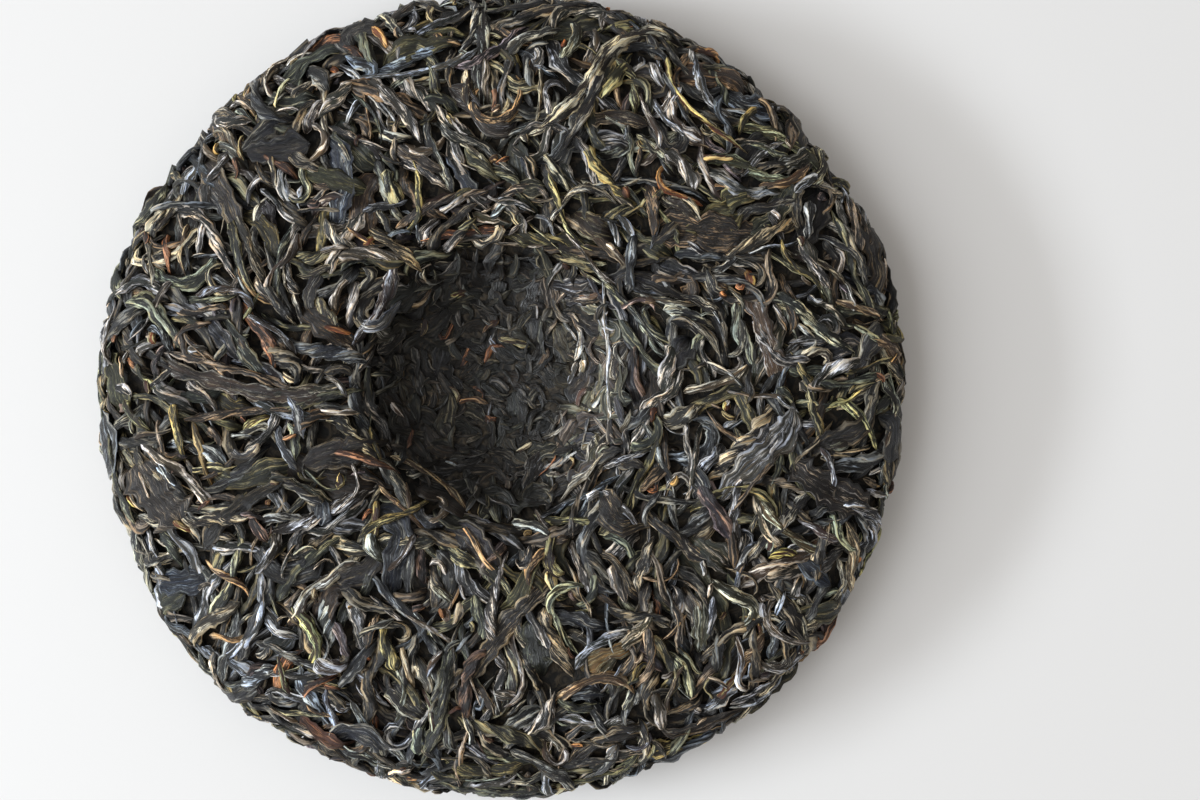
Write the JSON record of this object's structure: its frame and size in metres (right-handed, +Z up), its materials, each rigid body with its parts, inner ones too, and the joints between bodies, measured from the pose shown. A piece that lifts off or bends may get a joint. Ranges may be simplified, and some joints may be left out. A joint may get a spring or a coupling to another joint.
{
  "type": "pressed raw pu erh tea cake",
  "caption": "Round cake of raw pu erh tea: long twisted dark green, blue black and brown leaves with pale buds, pressed hard, with a round dimple in the upper side.",
  "frame": {"origin": "centre of the small flat spot that the cake rests on", "axes": "+Z up, out of the side with the dimple; +X to the right and +Y to the top of the picture"},
  "size_m": [0.2009, 0.1996, 0.0259],
  "materials": {
    "tea_leaf": "dry, wrinkled, faintly waxy on the ridges"
  },
  "bodies": {
    "root": {"tea_cake": "tea_leaf"}
  },
  "joints": []
}
